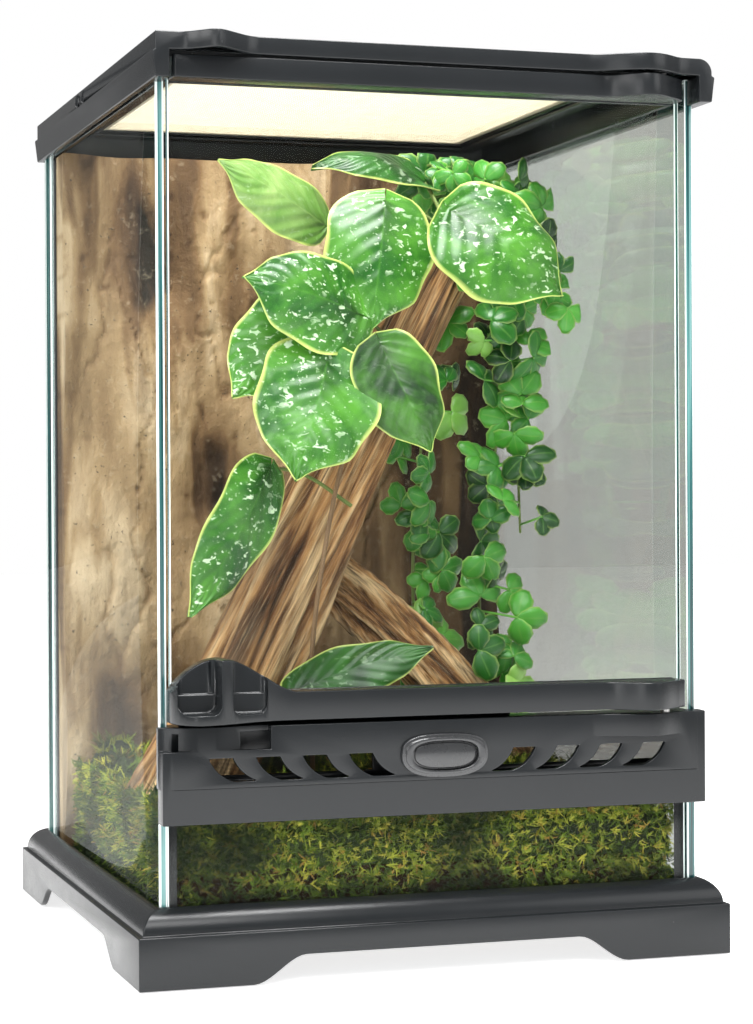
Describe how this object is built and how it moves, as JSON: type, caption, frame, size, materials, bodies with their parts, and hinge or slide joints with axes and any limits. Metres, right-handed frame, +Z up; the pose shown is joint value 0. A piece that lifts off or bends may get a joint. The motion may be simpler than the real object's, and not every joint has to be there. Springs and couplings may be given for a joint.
{
  "type": "reptile terrarium",
  "caption": "Tall front-opening glass terrarium: raised base, hinged door with finger grip, slotted vent frame, lift-out screen lid, planted rock interior.",
  "frame": {"origin": "on the floor under the middle of the whole outline, door furniture included", "axes": "+X to the right as seen from the front, -Y towards the front where the door is, +Z up"},
  "size_m": [0.2186, 0.2289, 0.3257],
  "materials": {
    "casing_plastic": "satin",
    "badge_plastic": "satin",
    "pane_glass": "clear",
    "silicone": "satin",
    "woven_steel": "woven",
    "pin_steel": "drawn",
    "rock_foam": "coated rigid foam, rough",
    "soil": "loose coconut fibre",
    "moss": "tufted",
    "branch_wood": "weathered",
    "broad_leaf": "soft leaf",
    "small_leaf": "soft leaf"
  },
  "bodies": {
    "tank": {"base_frame": "casing_plastic", "top_frame": "casing_plastic", "vent_frame": "casing_plastic", "badge_ring": "badge_plastic", "badge_plate": "badge_plastic", "bottom_glass": "pane_glass", "left_glass": "pane_glass", "right_glass": "pane_glass", "back_glass": "pane_glass", "front_lower_glass": "pane_glass", "silicone_beads": "silicone", "vent_mesh": "woven_steel", "upper_hinge_pin": "pin_steel", "lower_hinge_pin": "pin_steel", "rock_background": "rock_foam", "substrate": "soil", "moss_bed": "moss", "main_branch": "branch_wood", "second_branch": "branch_wood", "broadleaf_vine": "broad_leaf", "trailing_plant": "small_leaf"},
    "door": {"door_glass": "pane_glass", "door_upper_rail": "casing_plastic", "door_lower_rail": "casing_plastic"},
    "lid": {"lid_frame": "casing_plastic", "lid_mesh": "woven_steel"},
    "left_lock": {"left_lid_lock": "casing_plastic"},
    "right_lock": {"right_lid_lock": "casing_plastic"},
    "left_cover": {"left_inlet_cover": "casing_plastic"},
    "right_cover": {"right_inlet_cover": "casing_plastic"}
  },
  "joints": [
    {"name": "door_hinge", "type": "hinge", "parent": "tank", "child": "door", "pos_m": [0.0845, -0.10325, 0.2], "axis": [0, 0, 1], "range_deg": [0, 110]},
    {"name": "lid_lift", "type": "slide", "parent": "tank", "child": "lid", "axis": [0, 0, 1], "range_m": [0, 0.1]},
    {"name": "left_lock_slide", "type": "slide", "parent": "tank", "child": "left_lock", "axis": [1, 0, 0], "range_m": [0, 0.004]},
    {"name": "right_lock_slide", "type": "slide", "parent": "tank", "child": "right_lock", "axis": [-1, 0, 0], "range_m": [0, 0.004]},
    {"name": "left_inlet_slide", "type": "slide", "parent": "tank", "child": "left_cover", "axis": [0, 1, 0], "range_m": [0, 0.026]},
    {"name": "right_inlet_slide", "type": "slide", "parent": "tank", "child": "right_cover", "axis": [0, 1, 0], "range_m": [0, 0.026]}
  ]
}
